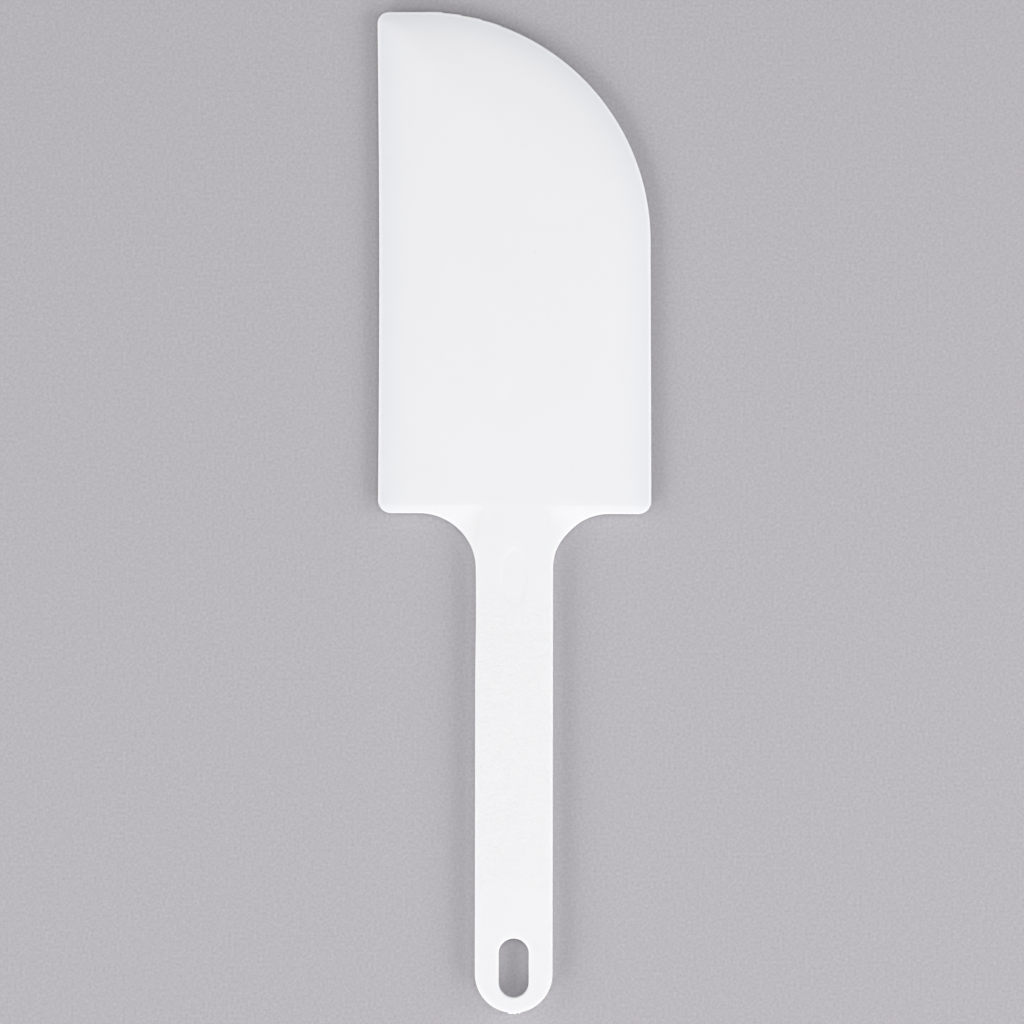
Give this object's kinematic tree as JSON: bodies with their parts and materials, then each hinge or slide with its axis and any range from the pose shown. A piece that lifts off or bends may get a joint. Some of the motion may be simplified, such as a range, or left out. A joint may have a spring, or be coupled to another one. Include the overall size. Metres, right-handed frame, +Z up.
{
  "type": "dough scraper",
  "caption": "One-hand dough and bowl scraper: flat handle with a hang slot, and a wide flexible blade with a straight edge and a large round corner.",
  "frame": {"origin": "centre of the scraper's outline on the surface it lies on", "axes": "+X across the blade towards its round corner, +Y along the scraper towards the blade's tip, +Z up"},
  "size_m": [0.095, 0.35, 0.006],
  "materials": {
    "handle_plastic": "stiff white plastic, fine moulded grain",
    "blade_plastic": "flexible white plastic, smooth satin, slightly see-through at its thin edges"
  },
  "bodies": {
    "root": {"handle": "handle_plastic", "blade": "blade_plastic"}
  },
  "joints": []
}
